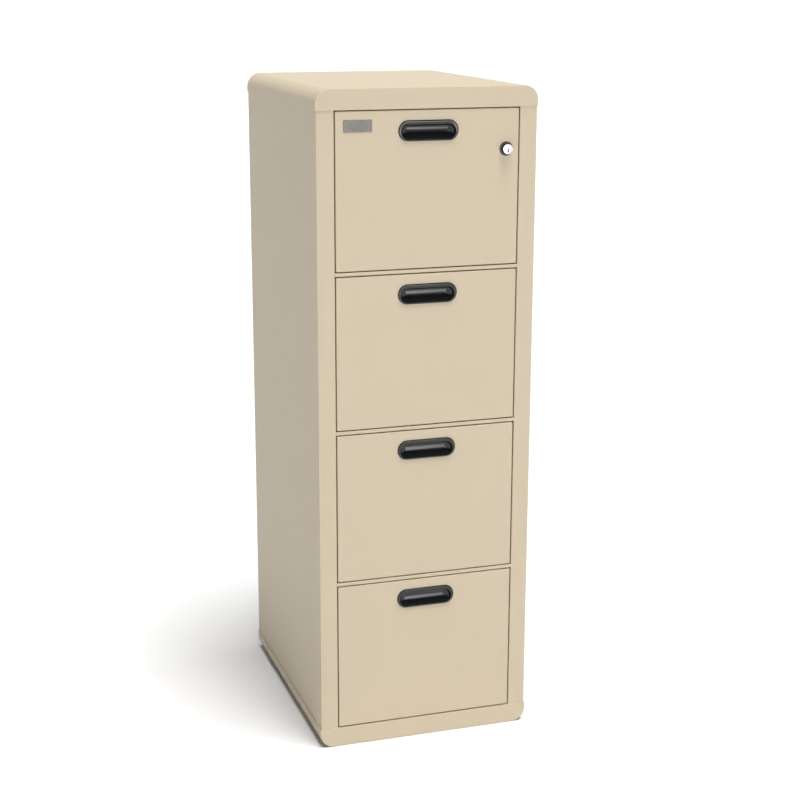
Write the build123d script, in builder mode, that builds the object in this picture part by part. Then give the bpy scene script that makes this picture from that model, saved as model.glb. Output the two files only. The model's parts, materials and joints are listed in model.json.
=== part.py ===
"""Insulated four-drawer vertical filing cabinet, in millimetres.

The origin is the centre of the footprint, on the floor. +Z is up, and the
drawers open towards -Y. Every piece is one node, written to parts/.
"""

import os

from build123d import *

os.makedirs("parts", exist_ok=True)

# ---------------------------------------------------------------- outside
WIDTH = 451.0
DEPTH = 562.0
HEIGHT = 1340.0
SHEET = 1.2  # outer steel
THIN = 0.8  # liner steel
CAP_PROUD_X = 1.75
CAP_PROUD_Y = 1.2
TOP_CAP = 40.4
BASE_CAP = 40.8
CAP_RADIUS = 29.0  # the rounded left and right edges
CAP_BEND = 1.5
BODY_X = WIDTH / 2 - CAP_PROUD_X
BODY_Y = DEPTH / 2 - CAP_PROUD_Y
WRAPPER_LOW = 31.0
WRAPPER_HIGH = 1309.0

# ---------------------------------------------------------------- openings
DRAWERS = 4
PITCH = 316.5
FRONT_HEIGHT = 305.3
FRONT_TOP = 1297.8  # top edge of the top drawer's front
GAP = 2.2
OPENING_X = 188.1
FRONT_X = OPENING_X - GAP
REBATE_Y = -243.0  # the step that the drawer head closes against
LINER_X = 174.0
LINER_BACK = 235.2
DIVIDER = 26.0
RAIL = PITCH - FRONT_HEIGHT - 2 * GAP

# ---------------------------------------------------------------- drawer head
FACE_Y = -BODY_Y
PAN_BACK = -246.0
PAN_BEND = 1.6
TONGUE_X = 170.0
TONGUE_BACK = -228.0
TONGUE_EDGE = 10.4  # from the front's top and bottom edges
PANEL = 1.0

# ---------------------------------------------------------------- tray
TRAY_X = 160.6
TRAY_BACK = 205.0
TRAY_LOW = 14.0
TRAY_HIGH = 270.0
TRAY_FLANGE = 14.0
TRAY_HEM = 4.0

# ---------------------------------------------------------------- slides
SLIDE_Z = 110.0  # slide centre above the front's bottom edge
SLIDE_STEEL = 1.2
SLIDE_LIP = 1.2
CABINET_RAIL_Y = (-213.0, 227.0)
MIDDLE_RAIL_Y = (-211.0, 209.0)
DRAWER_RAIL_Y = (-225.0, 195.0)
BALL = 3.0
BALLS_IN_ROW = 4
BALL_PITCH = 50.0
OUTER_BALLS_Y = 110.0
INNER_BALLS_Y = -110.0

# ---------------------------------------------------------------- pull
PULL_LENGTH = 122.0
PULL_HEIGHT = 40.0
PULL_PROUD = 2.8
PULL_BELOW = 39.6  # centre below the front's top edge
CUP_LENGTH = 116.0
CUP_HEIGHT = 35.0
CUP_BACK = 16.8  # behind the face
POCKET_LENGTH = 110.0
POCKET_HEIGHT = 28.0
POCKET_DEPTH = 14.0
POCKET_DROP = 2.5  # the rim is wider above the pocket than below it
UNDERCUT = 1.8

# ---------------------------------------------------------------- lock
LOCK_X = 160.0
LOCK_Z = 1219.0
COLLAR_R = 13.75
COLLAR_PROUD = 2.5
SLEEVE_R = 12.0
SLEEVE_BACK = -248.0
BARREL_R = 10.0
BARREL_FRONT = -291.5
BARREL_BACK = -264.0
BARREL_FIT = 0.1
PLUG_R = 5.5
PLUG_DROP = 3.2
PLUG_FIT = 0.08
PLUG_BACK = -268.0
TAIL_X = (163.5, 168.5)
TAIL_Z = (1215.0, 1221.0)
TAIL_TIP = -219.0
LOCK_TRAVEL = 9.0

# ---------------------------------------------------------------- lock bar
BAR_X = (172.2, 173.8)
BAR_Y = (-240.5, -216.5)
BAR_Z = (94.5, 1262.0)
HOOK_X = 165.0
HOOK_Y = (-224.5, -221.5)
HOOK_HEIGHT = 12.0
HOOK_CLEAR = 1.5
CATCH_Z = 190.0  # above the front's bottom edge
CATCH_LIP_Y = (-220.5, -218.5)
CATCH_HEIGHT = 18.0


def front_low(n):
    """Height of the bottom edge of drawer n's front, counted from the top."""
    return FRONT_TOP - FRONT_HEIGHT - (n - 1) * PITCH


def slab(x, y, z, mode=Mode.ADD):
    """A box between two values on each axis, in the part being built."""
    spans = [(min(span), max(span)) for span in (x, y, z)]
    centre = [(low + high) / 2 for low, high in spans]
    size = [high - low for low, high in spans]
    with Locations(tuple(centre)):
        Box(*size, mode=mode)


def barrel(radius, x, z, y, mode=Mode.ADD):
    """A cylinder along Y between two values of Y."""
    with BuildSketch(Plane.XZ.offset(-max(y))) as outline:
        with Locations((x, z)):
            Circle(radius)
    extrude(outline.sketch, amount=max(y) - min(y), mode=mode)


def stadium(length, height, z, y, mode=Mode.ADD):
    """A pill-shaped block on X = 0, between two values of Y."""
    with BuildSketch(Plane.XZ.offset(-max(y))) as outline:
        with Locations((0, z)):
            SlotOverall(length, height)
    extrude(outline.sketch, amount=max(y) - min(y), mode=mode)


def save(builder, name):
    """Names the piece and writes its STEP file."""
    builder.part.label = name
    export_step(builder.part, f"parts/{name}.step")


# ================================================================ caps
def cap_block(width, depth, low, high, radius, rounded_end, mode=Mode.ADD):
    """A block whose two long edges are rounded at its top or bottom."""
    with BuildSketch(Plane.XZ) as outline:
        with Locations((0, (low + high) / 2)):
            Rectangle(width, high - low)
        fillet(outline.vertices().group_by(Axis.Y)[rounded_end], radius)
    extrude(outline.sketch, amount=depth / 2, both=True, mode=mode)


def make_cap(name, low, high, rounded_end):
    """A pan that fits over one end of the body."""
    with BuildPart() as cap:
        cap_block(WIDTH, DEPTH, low, high, CAP_RADIUS, rounded_end)
        for end in (0, -1):
            rim = cap.faces().sort_by(Axis.Y)[end].edges()
            open_side = rim.sort_by(Axis.Z)[0 if rounded_end else -1]
            fillet([edge for edge in rim if edge != open_side], CAP_BEND)
        inner_low = low - SHEET if rounded_end else low + SHEET
        inner_high = high - SHEET if rounded_end else high + SHEET
        cap_block(
            WIDTH - 2 * SHEET,
            DEPTH - 2 * SHEET,
            inner_low,
            inner_high,
            CAP_RADIUS - SHEET,
            rounded_end,
            Mode.SUBTRACT,
        )
    save(cap, name)


make_cap("top_cap", HEIGHT - TOP_CAP, HEIGHT, -1)
make_cap("base_cap", 0, BASE_CAP, 0)

# ================================================================ body
INNER_X = BODY_X - SHEET
INNER_Y = BODY_Y - SHEET
LINER_TOP = FRONT_TOP + GAP + RAIL / 2 - DIVIDER / 2
LINER_LOW = front_low(DRAWERS) - GAP - RAIL / 2 + DIVIDER / 2
HEADER_Z = FRONT_TOP + GAP + 0.2
SILL_Z = front_low(DRAWERS) - GAP

with BuildPart() as wrapper:
    whole_z = (WRAPPER_LOW, WRAPPER_HIGH)
    slab((-BODY_X, BODY_X), (INNER_Y, BODY_Y), whole_z)
    for side in (-1, 1):
        slab((side * INNER_X, side * BODY_X), (-BODY_Y, BODY_Y), whole_z)
        slab((side * OPENING_X, side * BODY_X), (FACE_Y, -INNER_Y), whole_z)
        jamb_x = (side * OPENING_X, side * (OPENING_X + SHEET))
        slab(jamb_x, (FACE_Y, REBATE_Y), (SILL_Z - SHEET, HEADER_Z + SHEET))
save(wrapper, "outer_wrapper")

with BuildPart() as liner:
    back = LINER_BACK + THIN
    slab(
        (-LINER_X - THIN, LINER_X + THIN),
        (REBATE_Y, back),
        (LINER_LOW - THIN, LINER_TOP + THIN),
    )
    brim_x = OPENING_X + SHEET
    slab(
        (-brim_x, brim_x),
        (REBATE_Y, REBATE_Y + THIN),
        (SILL_Z - SHEET, HEADER_Z + SHEET),
    )
    slab(
        (-LINER_X, LINER_X),
        (REBATE_Y, LINER_BACK),
        (LINER_LOW, LINER_TOP),
        Mode.SUBTRACT,
    )
save(liner, "inner_liner")

CORE_Z = (LINER_LOW - THIN, LINER_TOP + THIN)
BRIM_BACK = REBATE_Y + THIN


def make_side_core(name, side):
    """Side insulation, thinner beside the drawer heads than behind them."""
    with BuildPart() as core:
        jamb = side * (OPENING_X + SHEET)
        slab((jamb, side * INNER_X), (-INNER_Y, BRIM_BACK), CORE_Z)
        inner = side * (LINER_X + THIN)
        slab((inner, side * INNER_X), (BRIM_BACK, INNER_Y), CORE_Z)
    save(core, name)


make_side_core("left_core", -1)
make_side_core("right_core", 1)

with BuildPart() as back_core:
    slab((-LINER_X - THIN, LINER_X + THIN), (LINER_BACK + THIN, INNER_Y), CORE_Z)
save(back_core, "back_core")

END_CORE_GAP = 0.3
END_CORE_X = 2 * (INNER_X - END_CORE_GAP)
END_CORE_Y = 2 * (INNER_Y - END_CORE_GAP)
END_CORE_R = CAP_RADIUS - SHEET - 1.0


def make_end_core(name, low, high, rounded_end, rebate_z):
    """Insulation inside a cap, cut back where the drawer head comes in."""
    with BuildPart() as core:
        cap_block(END_CORE_X, END_CORE_Y, low, high, END_CORE_R, rounded_end)
        x = OPENING_X + SHEET
        slab((-x, x), (-BODY_Y, BRIM_BACK), rebate_z, Mode.SUBTRACT)
    save(core, name)


make_end_core(
    "top_core",
    CORE_Z[1],
    HEIGHT - SHEET - END_CORE_GAP,
    -1,
    (CORE_Z[1], HEADER_Z + SHEET),
)
make_end_core(
    "base_core",
    SHEET + END_CORE_GAP,
    CORE_Z[0],
    0,
    (SILL_Z - SHEET, CORE_Z[0]),
)

# ---------------------------------------------------------------- front frame
with BuildPart() as front_rails:
    across = (-OPENING_X, OPENING_X)
    face = (FACE_Y, FACE_Y + SHEET)
    reach = (FACE_Y, REBATE_Y)
    slab(across, face, (HEADER_Z, WRAPPER_HIGH))
    slab(across, reach, (HEADER_Z, HEADER_Z + SHEET))
    slab(across, face, (WRAPPER_LOW, SILL_Z))
    slab(across, reach, (SILL_Z - SHEET, SILL_Z))
    for n in range(1, DRAWERS):
        high = front_low(n) - GAP
        low = high - RAIL
        slab(across, face, (low, high))
        slab(across, reach, (high - SHEET, high))
        slab(across, reach, (low, low + SHEET))
save(front_rails, "front_rails")

# ---------------------------------------------------------------- dividers
BAR_NOTCH_X = 171.6
BAR_NOTCH_Y = (BAR_Y[0] - 0.9, BAR_Y[1] + 1.5)
DIVIDER_X = LINER_X - 0.1
DIVIDER_BACK = LINER_BACK - 0.1


def divider_z(n):
    """The height of the middle of the divider under drawer n."""
    return front_low(n) - GAP - RAIL / 2


def bar_notch(z):
    """The cut that lets the lock bar through a divider."""
    slab((BAR_NOTCH_X, LINER_X), BAR_NOTCH_Y, (z - DIVIDER, z + DIVIDER), Mode.SUBTRACT)


for n in range(1, DRAWERS):
    middle = divider_z(n)
    with BuildPart() as divider:
        tall = (middle - DIVIDER / 2, middle + DIVIDER / 2)
        slab((-DIVIDER_X, DIVIDER_X), (REBATE_Y, DIVIDER_BACK), tall)
        hollow = (tall[0] + THIN, tall[1] - THIN)
        slab((-DIVIDER_X, DIVIDER_X), (BRIM_BACK, DIVIDER_BACK), hollow, Mode.SUBTRACT)
        bar_notch(middle)
    save(divider, f"divider_{n}")

with BuildPart() as divider_cores:
    for n in range(1, DRAWERS):
        middle = divider_z(n)
        half = DIVIDER / 2 - THIN
        slab(
            (-DIVIDER_X, DIVIDER_X),
            (BRIM_BACK, DIVIDER_BACK),
            (middle - half, middle + half),
        )
        bar_notch(middle)
save(divider_cores, "divider_cores")


# ================================================================ slides
def channel(side, y, z, web, lips, half):
    """A C-shaped slide member on one side of a drawer.

    web and lips are the distances of the web's and the lips' outer faces from
    the liner, and half is half of the member's height.
    """
    step = SLIDE_STEEL if lips > web else -SLIDE_STEEL
    faces = sorted((web, lips))
    web_x = (side * (LINER_X - web), side * (LINER_X - web - step))
    slab(web_x, y, (z - half, z + half))
    reach = tuple(side * (LINER_X - face) for face in faces)
    lip_x = (side * (LINER_X - lips), side * (LINER_X - lips + step))
    for up in (-1, 1):
        outer = z + up * half
        slab(reach, y, (outer, outer - up * SLIDE_STEEL))
        slab(lip_x, y, (outer, outer - up * (SLIDE_STEEL + SLIDE_LIP)))


def ball_row(side, y, z, from_liner):
    """A short row of balls at one height, in the part being built."""
    x = side * (LINER_X - from_liner)
    with Locations((x, y, z)):
        with GridLocations(BALL_PITCH, BALL_PITCH, 1, BALLS_IN_ROW):
            Sphere(BALL / 2)


# Distances from the liner, and half heights, of the three nested members.
CABINET_MEMBER = (0.0, 9.0, 22.5)
MIDDLE_MEMBER = (2.2, 11.0, 17.7)
DRAWER_MEMBER = (LINER_X - TRAY_X, 4.4, 12.7)
OUTER_BALLS = (5.2, 19.5)
INNER_BALLS = (7.2, 14.6)

with BuildPart() as cabinet_rails:
    for n in range(1, DRAWERS + 1):
        for side in (-1, 1):
            height = front_low(n) + SLIDE_Z
            channel(side, CABINET_RAIL_Y, height, *CABINET_MEMBER)
save(cabinet_rails, "cabinet_rails")

for n in range(1, DRAWERS + 1):
    height = front_low(n) + SLIDE_Z
    with BuildPart() as middle_rails:
        for side in (-1, 1):
            channel(side, MIDDLE_RAIL_Y, height, *MIDDLE_MEMBER)
    save(middle_rails, f"middle_rails_{n}")

    with BuildPart() as drawer_rails:
        for side in (-1, 1):
            channel(side, DRAWER_RAIL_Y, height, *DRAWER_MEMBER)
    save(drawer_rails, f"drawer_rails_{n}")

    with BuildPart() as balls:
        for side in (-1, 1):
            for up in (-1, 1):
                level = height + up * OUTER_BALLS[1]
                ball_row(side, OUTER_BALLS_Y, level, OUTER_BALLS[0])
                level = height + up * INNER_BALLS[1]
                ball_row(side, INNER_BALLS_Y, level, INNER_BALLS[0])
    save(balls, f"slide_balls_{n}")


# ================================================================ drawers
def make_front(n, low):
    """The painted pan of the drawer head, with the holes cut in its face."""
    high = low + FRONT_HEIGHT
    with BuildPart() as front:
        slab((-FRONT_X, FRONT_X), (FACE_Y, PAN_BACK), (low, high))
        bends = front.edges().filter_by(Axis.Y)
        bends += front.faces().sort_by(Axis.Y)[0].edges()
        fillet(bends, PAN_BEND)
        inner_x = FRONT_X - SHEET
        slab(
            (-inner_x, inner_x),
            (FACE_Y + SHEET, PAN_BACK),
            (low + SHEET, high - SHEET),
            Mode.SUBTRACT,
        )
        hole = (FACE_Y, FACE_Y + SHEET)
        pull_z = high - PULL_BELOW
        stadium(CUP_LENGTH + 1, CUP_HEIGHT + 1, pull_z, hole, Mode.SUBTRACT)
        if n == 1:
            barrel(SLEEVE_R + 0.2, LOCK_X, LOCK_Z, hole, Mode.SUBTRACT)
    save(front, f"drawer_front_{n}")


def make_front_core(n, low):
    """Insulation of the drawer head, with a pocket for the pull."""
    high = low + FRONT_HEIGHT
    edge = TONGUE_EDGE + PANEL
    with BuildPart() as core:
        inset = SHEET + 0.3
        pan_x = FRONT_X - inset
        slab((-pan_x, pan_x), (FACE_Y + SHEET, PAN_BACK), (low + inset, high - inset))
        tongue_x = TONGUE_X - PANEL
        tongue = (PAN_BACK, TONGUE_BACK - PANEL)
        slab((-tongue_x, tongue_x), tongue, (low + edge, high - edge))
        pull_z = high - PULL_BELOW
        stadium(
            CUP_LENGTH + 1,
            CUP_HEIGHT + 1,
            pull_z,
            (FACE_Y, FACE_Y + CUP_BACK + 0.5),
            Mode.SUBTRACT,
        )
        if n == 1:
            bore = (FACE_Y, SLEEVE_BACK)
            barrel(SLEEVE_R + 0.2, LOCK_X, LOCK_Z, bore, Mode.SUBTRACT)
            tail_slot(Mode.SUBTRACT)
    save(core, f"front_core_{n}")


def tail_slot(mode):
    """The passage for the lock's tail, from the sleeve's end backwards."""
    grow = 0.5
    slab(
        (TAIL_X[0] - grow, TAIL_X[1] + grow),
        (SLEEVE_BACK - 2, TONGUE_BACK),
        (TAIL_Z[0] - grow, TAIL_Z[1] + grow),
        mode,
    )


def make_front_liner(n, low):
    """The stepped inner panel that closes the drawer head from behind."""
    high = low + FRONT_HEIGHT
    with BuildPart() as panel:
        brim_x = FRONT_X - 0.7
        brim = (PAN_BACK, PAN_BACK + PANEL)
        slab((-brim_x, brim_x), brim, (low + 0.7, high - 0.7))
        tongue = (PAN_BACK, TONGUE_BACK)
        slab(
            (-TONGUE_X, TONGUE_X), tongue, (low + TONGUE_EDGE, high - TONGUE_EDGE)
        )
        inner_x = TONGUE_X - PANEL
        edge = TONGUE_EDGE + PANEL
        hollow = (PAN_BACK, TONGUE_BACK - PANEL)
        slab((-inner_x, inner_x), hollow, (low + edge, high - edge), Mode.SUBTRACT)
        if n == 1:
            tail_slot(Mode.SUBTRACT)
    save(panel, f"front_liner_{n}")


def make_tray(n, low):
    """The sheet-steel drawer tray: floor, sides, back and front flanges."""
    floor = low + TRAY_LOW
    rim = low + TRAY_HIGH
    with BuildPart() as tray:
        slab((-TRAY_X, TRAY_X), (TONGUE_BACK, TRAY_BACK), (floor, rim))
        hem_x = TRAY_X + TRAY_HEM
        slab((-hem_x, hem_x), (TONGUE_BACK + 2, TRAY_BACK), (rim - PANEL, rim))
        inner_x = TRAY_X - PANEL
        inner_y = (TONGUE_BACK + PANEL, TRAY_BACK - PANEL)
        slab((-inner_x, inner_x), inner_y, (floor + PANEL, rim), Mode.SUBTRACT)
        mouth_x = inner_x - TRAY_FLANGE
        mouth_y = (TONGUE_BACK, TONGUE_BACK + PANEL)
        slab((-mouth_x, mouth_x), mouth_y, (floor + TRAY_FLANGE, rim), Mode.SUBTRACT)
    save(tray, f"tray_{n}")


def make_pull(n, low):
    """The black recessed pull: a flange, a cup and the scooped finger pocket."""
    centre = low + FRONT_HEIGHT - PULL_BELOW
    middle = centre - POCKET_DROP
    rim_y = FACE_Y - PULL_PROUD
    half = POCKET_HEIGHT / 2
    with BuildPart() as pocket:
        with BuildSketch(Plane.YZ):
            with BuildLine():
                bottom = (rim_y + 1, middle - half)
                deepest = (rim_y + POCKET_DEPTH, middle + 8)
                belly = (rim_y + 10.52, middle - 4.79)
                ceiling = (rim_y + 8, middle + half + UNDERCUT)
                lip = (rim_y + 4, middle + half + UNDERCUT)
                Line((rim_y, middle - half), bottom)
                ThreePointArc(bottom, belly, deepest)
                Line(deepest, ceiling)
                Line(ceiling, lip)
                Line(lip, (rim_y + 4, middle + half))
                Line((rim_y + 4, middle + half), (rim_y, middle + half))
                Line((rim_y, middle + half), (rim_y, middle - half))
            make_face()
        extrude(amount=POCKET_LENGTH / 2, both=True)
        with BuildSketch(Plane.XZ.offset(-rim_y - POCKET_DEPTH)):
            with Locations((0, middle)):
                SlotOverall(POCKET_LENGTH, POCKET_HEIGHT)
            with Locations((0, middle + half)):
                Rectangle(POCKET_LENGTH - POCKET_HEIGHT, 2 * UNDERCUT)
        extrude(amount=POCKET_DEPTH, mode=Mode.INTERSECT)
    with BuildPart() as pull:
        stadium(PULL_LENGTH, PULL_HEIGHT, centre, (rim_y, FACE_Y))
        fillet(pull.faces().sort_by(Axis.Y)[0].edges(), PULL_PROUD - 0.6)
        cup_y = (FACE_Y, FACE_Y + CUP_BACK)
        stadium(CUP_LENGTH, CUP_HEIGHT, centre, cup_y)
        add(pocket.part, mode=Mode.SUBTRACT)
    save(pull, f"handle_cup_{n}")


def make_catch(n, low):
    """The bracket on the tray's right side that the lock bar holds."""
    z = (low + CATCH_Z, low + CATCH_Z + CATCH_HEIGHT)
    with BuildPart() as catch:
        slab((TRAY_X, TRAY_X + 1.5), (CATCH_LIP_Y[0], -195), z)
        slab((TRAY_X, 170.4), CATCH_LIP_Y, z)
    save(catch, f"catch_{n}")


for n in range(1, DRAWERS + 1):
    low = front_low(n)
    make_front(n, low)
    make_front_core(n, low)
    make_front_liner(n, low)
    make_tray(n, low)
    make_pull(n, low)
    make_catch(n, low)

BADGE_X = (-170.0, -113.0)
BADGE_Z = (1258.0, 1281.0)
BADGE_THICK = 0.8
with BuildPart() as badge:
    slab(BADGE_X, (FACE_Y - BADGE_THICK, FACE_Y), BADGE_Z)
    fillet(badge.edges().filter_by(Axis.Y), 2)
save(badge, "badge_plate")

# ================================================================ lock
with BuildPart() as collar:
    barrel(COLLAR_R, LOCK_X, LOCK_Z, (FACE_Y - COLLAR_PROUD, FACE_Y))
    chamfer(collar.faces().sort_by(Axis.Y)[0].edges(), 1)
    barrel(SLEEVE_R, LOCK_X, LOCK_Z, (FACE_Y, SLEEVE_BACK))
    bore = (FACE_Y - COLLAR_PROUD, SLEEVE_BACK - 1.5)
    barrel(BARREL_R + BARREL_FIT, LOCK_X, LOCK_Z, bore, Mode.SUBTRACT)
    tail_slot(Mode.SUBTRACT)
save(collar, "lock_collar")

with BuildPart() as plunger:
    barrel(BARREL_R, LOCK_X, LOCK_Z, (BARREL_FRONT, BARREL_BACK))
    chamfer(plunger.faces().sort_by(Axis.Y)[0].edges(), 0.8)
    bore = (BARREL_FRONT, PLUG_BACK)
    barrel(PLUG_R + PLUG_FIT, LOCK_X, LOCK_Z - PLUG_DROP, bore, Mode.SUBTRACT)
    with BuildSketch(Plane.YZ.offset(TAIL_X[0])):
        with BuildLine():
            slope = TAIL_Z[1] - TAIL_Z[0]
            Polyline(
                (BARREL_BACK, TAIL_Z[0]),
                (TAIL_TIP, TAIL_Z[0]),
                (TAIL_TIP - slope, TAIL_Z[1]),
                (BARREL_BACK, TAIL_Z[1]),
                close=True,
            )
        make_face()
    extrude(amount=TAIL_X[1] - TAIL_X[0])
save(plunger, "lock_plunger")

KEYWAY_LENGTH = 6.4
KEYWAY_WIDTH = 2.2
KEYWAY_DEPTH = 20.0
with BuildPart() as key_plug:
    plug_z = LOCK_Z - PLUG_DROP
    barrel(PLUG_R, LOCK_X, plug_z, (BARREL_FRONT, PLUG_BACK))
    with BuildSketch(Plane.XZ.offset(-BARREL_FRONT)):
        with Locations((LOCK_X, plug_z)):
            SlotOverall(KEYWAY_LENGTH, KEYWAY_WIDTH, rotation=90)
    extrude(amount=-KEYWAY_DEPTH, mode=Mode.SUBTRACT)
save(key_plug, "key_plug")

SPRING_X = 155.5
SPRING_R = 3.0
SPRING_WIRE = 0.7
SPRING_Y = (BARREL_BACK + 0.5, SLEEVE_BACK - 2.0)
SPRING_COILS = 5
with BuildPart() as spring:
    with BuildLine():
        reach = SPRING_Y[1] - SPRING_Y[0]
        coil = Helix(
            reach / SPRING_COILS,
            reach,
            SPRING_R,
            center=(SPRING_X, SPRING_Y[0], LOCK_Z),
            direction=(0, 1, 0),
        )
    with BuildSketch(Plane(origin=coil @ 0, z_dir=coil % 0)):
        Circle(SPRING_WIRE / 2)
    sweep(path=coil, is_frenet=True)
save(spring, "lock_spring")

# ================================================================ lock bar
RAMP_GAP = 0.45
RAMP_Y = (-223.0, -207.0, -203.0)
RAMP_TOP = 1224.0
RAMP_SUM = TAIL_TIP + TAIL_Z[0] + RAMP_GAP  # y + z on the sloping face

with BuildPart() as lock_bar:
    slab(BAR_X, BAR_Y, BAR_Z)
    slab(BAR_X, (BAR_Y[1], RAMP_Y[2]), (RAMP_SUM - RAMP_Y[1], RAMP_TOP))
save(lock_bar, "lock_bar")

with BuildPart() as hooks:
    for n in range(1, DRAWERS + 1):
        top = front_low(n) + CATCH_Z - HOOK_CLEAR
        slab((HOOK_X, BAR_X[0]), HOOK_Y, (top - HOOK_HEIGHT, top))
    with BuildSketch(Plane.YZ.offset(HOOK_X)):
        with BuildLine():
            Polyline(
                (RAMP_Y[0], RAMP_SUM - RAMP_Y[0]),
                (RAMP_Y[1], RAMP_SUM - RAMP_Y[1]),
                (RAMP_Y[2], RAMP_SUM - RAMP_Y[1]),
                (RAMP_Y[2], RAMP_TOP),
                (RAMP_Y[0], RAMP_TOP),
                close=True,
            )
        make_face()
    extrude(amount=BAR_X[0] - HOOK_X)
save(hooks, "lock_bar_hooks")

GUIDE_Z = 243.0
GUIDE_HEIGHT = 16.0
GUIDE_X = 170.9
GUIDE_STEEL = 1.0
GUIDE_Y = (BAR_Y[0] - 1.5, BAR_Y[1] + 1.5)
with BuildPart() as guides:
    for n in range(1, DRAWERS + 1):
        z = (front_low(n) + GUIDE_Z, front_low(n) + GUIDE_Z + GUIDE_HEIGHT)
        slab((GUIDE_X, LINER_X), GUIDE_Y, z)
        inner_y = (GUIDE_Y[0] + GUIDE_STEEL, GUIDE_Y[1] - GUIDE_STEEL)
        slab((GUIDE_X + GUIDE_STEEL, LINER_X), inner_y, z, Mode.SUBTRACT)
    slab((GUIDE_X, LINER_X), BAR_Y, (BAR_Z[0] - 2.3, BAR_Z[0] - 0.3))
save(guides, "lock_bar_guides")
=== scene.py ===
"""Looks of an insulated four-drawer vertical filing cabinet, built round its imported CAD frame.

The sheet-metal pieces are drawn as folded surfaces, given their real thickness
and shaded in finishes that are laid out in real millimetres. Their places come
from the CAD nodes that they stand for, and they ride on the same bodies.
"""

import json
import logging
import math
from collections.abc import Callable, Iterable, Mapping, Sequence
from dataclasses import dataclass, field
from enum import Enum

import bmesh
import bpy
from mathutils import Matrix, Vector

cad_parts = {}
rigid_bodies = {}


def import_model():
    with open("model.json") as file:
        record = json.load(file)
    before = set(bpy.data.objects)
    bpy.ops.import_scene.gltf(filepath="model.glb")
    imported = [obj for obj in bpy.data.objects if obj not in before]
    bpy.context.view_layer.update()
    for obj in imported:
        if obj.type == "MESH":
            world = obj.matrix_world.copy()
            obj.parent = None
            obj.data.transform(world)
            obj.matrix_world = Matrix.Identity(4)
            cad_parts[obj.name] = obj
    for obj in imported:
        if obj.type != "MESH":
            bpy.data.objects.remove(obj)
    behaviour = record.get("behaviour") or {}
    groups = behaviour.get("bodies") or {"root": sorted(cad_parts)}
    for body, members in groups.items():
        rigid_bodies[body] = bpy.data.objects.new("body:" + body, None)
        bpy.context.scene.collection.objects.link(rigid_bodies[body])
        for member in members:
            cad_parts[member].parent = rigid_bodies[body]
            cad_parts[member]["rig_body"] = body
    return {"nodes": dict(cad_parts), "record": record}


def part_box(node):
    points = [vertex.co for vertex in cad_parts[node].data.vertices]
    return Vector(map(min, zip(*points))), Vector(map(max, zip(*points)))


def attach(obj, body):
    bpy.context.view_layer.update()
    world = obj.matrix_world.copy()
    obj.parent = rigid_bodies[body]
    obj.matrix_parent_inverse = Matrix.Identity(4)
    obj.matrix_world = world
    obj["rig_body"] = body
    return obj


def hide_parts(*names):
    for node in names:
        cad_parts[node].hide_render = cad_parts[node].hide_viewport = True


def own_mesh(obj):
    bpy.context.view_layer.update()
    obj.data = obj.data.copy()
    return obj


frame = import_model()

LOG = logging.getLogger("cabinet")
MM = 0.001
DRAWERS = (1, 2, 3, 4)
GAP = 2.2  # between a drawer front and the frame round it

Point2 = tuple[float, float]
Point3 = tuple[float, float, float]
Loop = list[Point3]
Ring = list[bmesh.types.BMVert]


# ---------------------------------------------------------------- finishes
def srgb(code: str) -> tuple[float, float, float, float]:
    """Turns an sRGB hex colour into a linear one.

    Args:
        code: Six hex digits, with or without a leading #.

    Returns:
        Linear red, green, blue and an alpha of 1.
    """
    digits = code.lstrip("#")
    shown = [int(digits[i : i + 2], 16) / 255 for i in (0, 2, 4)]
    linear = [c / 12.92 if c <= 0.04045 else ((c + 0.055) / 1.055) ** 2.4 for c in shown]
    return (*linear, 1.0)


def add_node(
    tree: bpy.types.NodeTree,
    kind: str,
    values: Mapping[str | int, object] | None = None,
    links: Mapping[str | int, bpy.types.NodeSocket] | None = None,
    **settings: object,
) -> bpy.types.Node:
    """Adds one node with its settings, constants and incoming links.

    Args:
        tree: The node tree that it joins.
        kind: Blender's name of the node type.
        values: Constants, by input.
        links: Output sockets that feed it, by input.
        **settings: The node's own properties.

    Returns:
        The new node.
    """
    made = tree.nodes.new(kind)
    for name, value in settings.items():
        setattr(made, name, value)
    for socket, value in (values or {}).items():
        made.inputs[socket].default_value = value
    for socket, source in (links or {}).items():
        tree.links.new(source, made.inputs[socket])
    return made


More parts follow.
